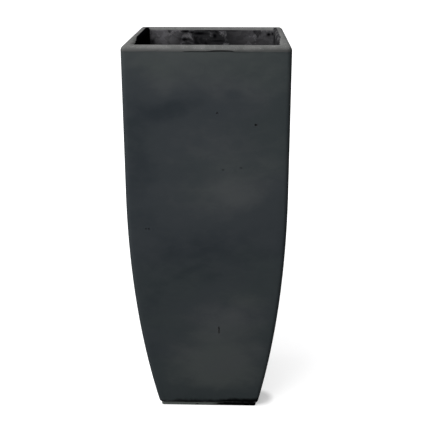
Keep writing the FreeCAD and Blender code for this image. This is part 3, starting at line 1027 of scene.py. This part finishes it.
class PLANTER_OT_drain(bpy.types.Operator):
    """Model the drain's flanged sleeve and the rubber stopper that lifts out of it"""

    bl_idname = "planter.drain"
    bl_label = "Drain"

    def execute(self, context):
        s = context.scene.planter_drain
        low, high = BUSH_LOW.z, BUSH_HIGH.z
        seat = high - BUSH_FLANGE
        bore, sleeve, flange = s.bore_radius, s.sleeve_radius, BUSH_HIGH.x
        soft = 0.0004
        profile = [
            (bore, low + soft), (bore + soft, low), (sleeve - soft, low), (sleeve, low + soft),
            (sleeve, seat), (flange - soft, seat), (flange, seat + soft), (flange, high - 2 * soft),
            (flange - 2 * soft, high - soft / 2), (flange - 4 * soft, high),
            (bore + soft, high), (bore, high - soft),
        ]
        bush = stack("drain_sleeve", [(r, ROUND, z) for r, z in profile])
        finish(bush, "planter", "Drain Plastic", "bush_plastic", "drain_bush")

        foot, head_top, head = PLUG_LOW.z, PLUG_HIGH.z - s.grip_height, PLUG_HIGH.x
        body = bore - 0.0002
        stem = body - 0.0005
        profile = [(0.0005, foot), (body - 0.0016, foot), (body - 0.0004, foot + 0.0012)]
        for level in (foot + 0.003, foot + 0.007, foot + 0.011):
            profile += [(stem, level), (body, level + 0.0008), (body, level + 0.0016), (stem, level + 0.0024)]
        profile += [
            (stem, high - 0.0004), (body, high), (head - 0.0008, high), (head, high + 0.0008),
            (head, head_top - 0.0016), (head - 0.0005, head_top - 0.0006), (head - 0.0016, head_top - 0.0001),
            (head - 0.004, head_top), (head - 0.0048, head_top - 0.0003), (head - 0.0056, head_top),
            (0.0005, head_top),
        ]
        plug = stack("rubber_stopper", [(r, ROUND, z) for r, z in profile], closed=False)
        for level in (foot, head_top):
            pick(plug, "verts", lambda v: abs(v.co.z - level) < 1e-6 and v.co.xy.length < 0.001)
            bpy.ops.mesh.merge(type="CENTER")
        self.add_grip(plug, s, head_top)
        finish(plug, "plug", "Stopper Rubber", "plug_rubber", "drain_plug", angle=40.0)
        return {"FINISHED"}

    def add_grip(self, plug, s, head_top):
        """A waisted tab to pull, with rounded edges and a swelling at its root."""
        base = head_top - 0.001
        span = PLUG_HIGH.z - base
        bpy.ops.mesh.primitive_cube_add(
            size=1.0, location=(0, 0, base + span / 2), scale=(s.grip_width, s.grip_thickness, span)
        )
        bpy.ops.mesh.subdivide(number_cuts=5)
        bpy.ops.mesh.select_mode(type="VERT")
        mesh = bmesh.from_edit_mesh(plug.data)
        block = [v for v in mesh.verts if v.select]
        for v in block:
            t = (v.co.z - base) / span
            if abs(v.co.y) > s.grip_thickness * 0.45:
                v.co.y *= 1.0 - 0.22 * math.sin(math.pi * min(1.0, t * 1.15))
            edge = max(0.0, abs(v.co.x) / (s.grip_width / 2) - 0.55) / 0.45
            v.co.y *= 1.0 - 0.28 * edge**2
            v.co.z -= 0.0016 * edge**2 * t
        bmesh.update_edit_mesh(plug.data)
        edges = {e for v in block for e in v.link_edges}
        sharp = [e for e in edges if len(e.link_faces) == 2 and e.calc_face_angle(0.0) > math.radians(50)]
        bpy.ops.mesh.select_all(action="DESELECT")
        bpy.ops.mesh.select_mode(type="EDGE")
        mesh = bmesh.from_edit_mesh(plug.data)
        for e in sharp:
            e.select_set(True)
        bmesh.update_edit_mesh(plug.data)
        bpy.ops.mesh.bevel(
            offset=0.0012, offset_type="OFFSET", segments=3, profile=0.5, affect="EDGES", clamp_overlap=True
        )


class PLANTER_OT_pads(bpy.types.Operator):
    """Model one ribbed rubber pad and copy it to the four corners of the plinth"""

    bl_idname = "planter.pads"
    bl_label = "Pads"

    def execute(self, context):
        names = ("front_left", "front_right", "back_left", "back_right")
        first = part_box(f"foot_pad_{names[0]}")
        centre = (first[0] + first[1]) / 2
        size = first[1] - first[0]
        pad = start(f"ribbed_pad_{names[0]}")
        bpy.ops.mesh.primitive_cube_add(size=1.0, location=centre, scale=size)
        pick(pad, "edges", lambda e: abs(e.verts[0].co.z - e.verts[1].co.z) > 0.001)
        bpy.ops.mesh.bevel(offset=0.0022, offset_type="OFFSET", segments=4, affect="EDGES")
        pick(pad, "edges", lambda e: all(v.co.z < 0.0005 for v in e.verts))
        bpy.ops.mesh.bevel(offset=0.0006, offset_type="OFFSET", segments=2, affect="EDGES")
        rib = 0.0022

        def underneath(face, smallest):
            return face.normal.z < -0.9 and face.calc_area() > smallest

        def every_other_strip(face):
            across = face.calc_center_median().x - centre.x
            return underneath(face, 1e-5) and math.floor(across / rib) % 2 == 0 and abs(across) < 3 * rib

        pick(pad, "faces", lambda f: underneath(f, 1e-5))
        bpy.ops.mesh.inset(thickness=0.0012)
        bpy.ops.mesh.bisect(plane_co=centre, plane_no=(1, 0, 0))
        for k in (-3, -2, -1, 1, 2, 3):
            pick(pad, "faces", lambda f: underneath(f, 1e-6))
            bpy.ops.mesh.bisect(plane_co=(centre.x + rib * k, centre.y, 0), plane_no=(1, 0, 0))

        pick(pad, "faces", every_other_strip)
        bpy.ops.mesh.extrude_region_move(TRANSFORM_OT_translate={"value": (0, 0, 0.0007)})
        bpy.ops.object.mode_set(mode="OBJECT")
        copies = [pad]
        for name in names[1:]:
            copy = pad.copy()
            copy.data = pad.data.copy()
            copy.name = f"ribbed_pad_{name}"
            context.collection.objects.link(copy)
            low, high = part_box(f"foot_pad_{name}")
            copy.location = (low + high) / 2 - centre
            copies.append(copy)
        for copy, name in zip(copies, names):
            finish(copy, "planter", "Pad Rubber", "pad_rubber", f"foot_pad_{name}", angle=40.0)
        return {"FINISHED"}


class PLANTER_OT_plinth(bpy.types.Operator):
    """Model the plinth frame with softened edges"""

    bl_idname = "planter.plinth"
    bl_label = "Plinth"

    def execute(self, context):
        bottom, top = PLINTH_LOW.z, PLINTH_HIGH.z
        heel = WALL_LOW.z
        half = PLINTH_HIGH.x
        corner, inner_corner = 0.006, 0.008
        spigot, hole = half - 0.0215, half - 0.0295
        rings = [
            (hole + 0.0006, inner_corner, bottom),
            (half - 0.0008, corner - 0.0008, bottom),
            (half - 0.0002, corner - 0.0002, bottom + 0.0002),
            (half, corner, bottom + 0.0007),
            (half, corner, heel - 0.0006),
            (half - 0.0004, corner, heel),
            (spigot, inner_corner, heel),
            (spigot, inner_corner, top - 0.0005),
            (spigot - 0.0005, inner_corner, top),
            (hole, inner_corner, top),
            (hole, inner_corner, bottom + 0.0006),
        ]
        plinth = stack("foot_plinth", rings)
        cross_cuts(plinth, 15)
        finish(plinth, "planter", "Plinth Gelcoat", "laminate", "base_plinth")
        return {"FINISHED"}


class PLANTER_OT_hidden(bpy.types.Operator):
    """Give the timber, plywood and capping that the laminate hides their materials"""

    bl_idname = "planter.hidden"
    bl_label = "Hidden pieces"

    def execute(self, context):
        kinds = {
            "floor_core": "Floor Plywood",
            "rim_capping": "Raw Laminate",
            "rim_core_front": "Batten Timber X",
            "rim_core_back": "Batten Timber X",
            "rim_core_left": "Batten Timber Y",
            "rim_core_right": "Batten Timber Y",
        }
        for name, material in kinds.items():
            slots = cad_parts[name].data.materials
            slots.clear()
            slots.append(bpy.data.materials[material])
        return {"FINISHED"}


class PLANTER_OT_studio(bpy.types.Operator):
    """Set the floor, the lights, the surroundings and the camera"""

    bl_idname = "planter.studio"
    bl_label = "Studio"

    def execute(self, context):
        s = context.scene.planter_studio
        bpy.ops.object.select_all(action="DESELECT")
        bpy.ops.mesh.primitive_plane_add(size=30.0, location=(0, 0, 0))
        floor = context.object
        floor.name = "studio_floor"
        bpy.ops.object.mode_set(mode="EDIT")
        bpy.ops.mesh.select_all(action="SELECT")
        bpy.ops.mesh.subdivide(number_cuts=3)
        bpy.ops.object.mode_set(mode="OBJECT")
        floor.data.materials.append(bpy.data.materials["Studio Floor"])
        self.add_light("top_softbox", (-0.9, -0.8, 3.2), (0.0, 0.0, 0.4), 3.0, s.top_light)
        self.add_light("left_softbox", (-1.8, -2.4, 1.8), (0.0, 0.0, 0.5), 1.8, s.side_light)
        world = bpy.data.worlds.new("Studio Surround")
        world.use_nodes = True
        tree = Tree(world.node_tree)
        light = world.node_tree.nodes["Background"]
        from_right = tree.parts(tree.node("TexCoord").outputs["Generated"])[0]
        soft = tree.times(tree.ramp(from_right, -0.5, 0.6, 1.6, 0.1), s.surround)
        tree.give(light.inputs, Color=s.backdrop, Strength=tree.most(tree.seen_directly(), soft))
        context.scene.world = world
        context.scene.view_settings.view_transform = "Standard"
        turn = (math.pi / 2 - s.camera_tilt, 0.0, s.camera_turn)
        bpy.ops.object.camera_add(location=s.camera_place, rotation=turn)
        camera = context.object
        camera.name = "photo_camera"
        camera.data.lens = s.focal_length
        camera.data.sensor_width = 36.0
        context.scene.camera = camera
        return {"FINISHED"}

    def add_light(self, name, place, target, size, power):
        bpy.ops.object.light_add(type="AREA", location=place)
        light = bpy.context.object
        light.name = name
        light.data.name = name
        light.data.shape = "SQUARE"
        light.data.size = size
        light.data.energy = power
        light.rotation_euler = (Vector(target) - Vector(place)).to_track_quat("-Z", "Y").to_euler()


OPERATORS = (
    PLANTER_OT_finishes,
    PLANTER_OT_wall,
    PLANTER_OT_lip,
    PLANTER_OT_floor,
    PLANTER_OT_drain,
    PLANTER_OT_plinth,
    PLANTER_OT_pads,
    PLANTER_OT_hidden,
    PLANTER_OT_studio,
)


class PLANTER_PT_panel(bpy.types.Panel):
    """The planter's pieces, sizes and colours"""

    bl_idname = "PLANTER_PT_panel"
    bl_label = "Tall Square Planter"
    bl_space_type = "VIEW_3D"
    bl_region_type = "UI"
    bl_category = "Planter"

    def draw(self, context):
        for operator in OPERATORS:
            self.layout.operator(operator.bl_idname)
        for name, settings in GROUPS.items():
            box = self.layout.box()
            box.label(text=name.split("_")[1].title())
            for key in settings.__annotations__:
                box.prop(getattr(context.scene, name), key)


def register():
    for cls in (*GROUPS.values(), *OPERATORS, PLANTER_PT_panel):
        bpy.utils.register_class(cls)
    for name, settings in GROUPS.items():
        setattr(bpy.types.Scene, name, PointerProperty(type=settings))


def unregister():
    for name in GROUPS:
        delattr(bpy.types.Scene, name)
    for cls in (PLANTER_PT_panel, *reversed(OPERATORS), *reversed(tuple(GROUPS.values()))):
        bpy.utils.unregister_class(cls)


def main():
    register()
    for operator in OPERATORS:
        group, name = operator.bl_idname.split(".")
        getattr(getattr(bpy.ops, group), name)()


if __name__ == "__main__":
    main()
